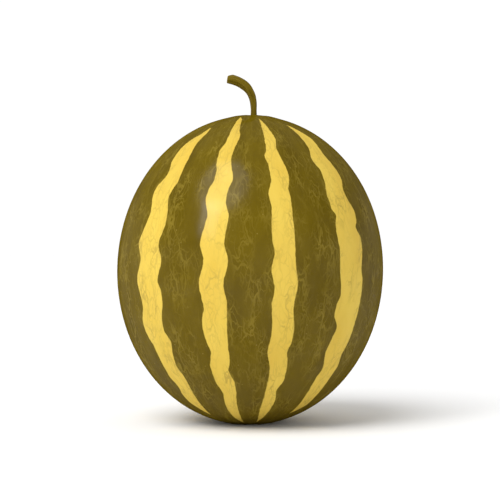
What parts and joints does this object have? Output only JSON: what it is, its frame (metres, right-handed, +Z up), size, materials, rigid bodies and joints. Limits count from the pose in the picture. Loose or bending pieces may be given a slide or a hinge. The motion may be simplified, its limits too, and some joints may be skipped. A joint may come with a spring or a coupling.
{
  "type": "watermelon",
  "caption": "Whole ripe watermelon, taller than wide, with wavy light stripes down a dark rind and a short hooked stem; stands upright on a small flat spot.",
  "frame": {"origin": "centre of the flat spot at the blossom end, on the surface that the fruit stands on", "axes": "+Z up from the flat spot to the stem end, +X to the right seen from the front, -Y to the front; the stem hooks over towards -X"},
  "size_m": [0.26, 0.26, 0.3407],
  "materials": {
    "rind": "smooth waxy skin, satin gloss, olive with warm yellow stripes",
    "stem": "dry ribbed fibrous vine stem, matt"
  },
  "bodies": {
    "root": {"fruit": "rind", "stem": "stem"}
  },
  "joints": []
}
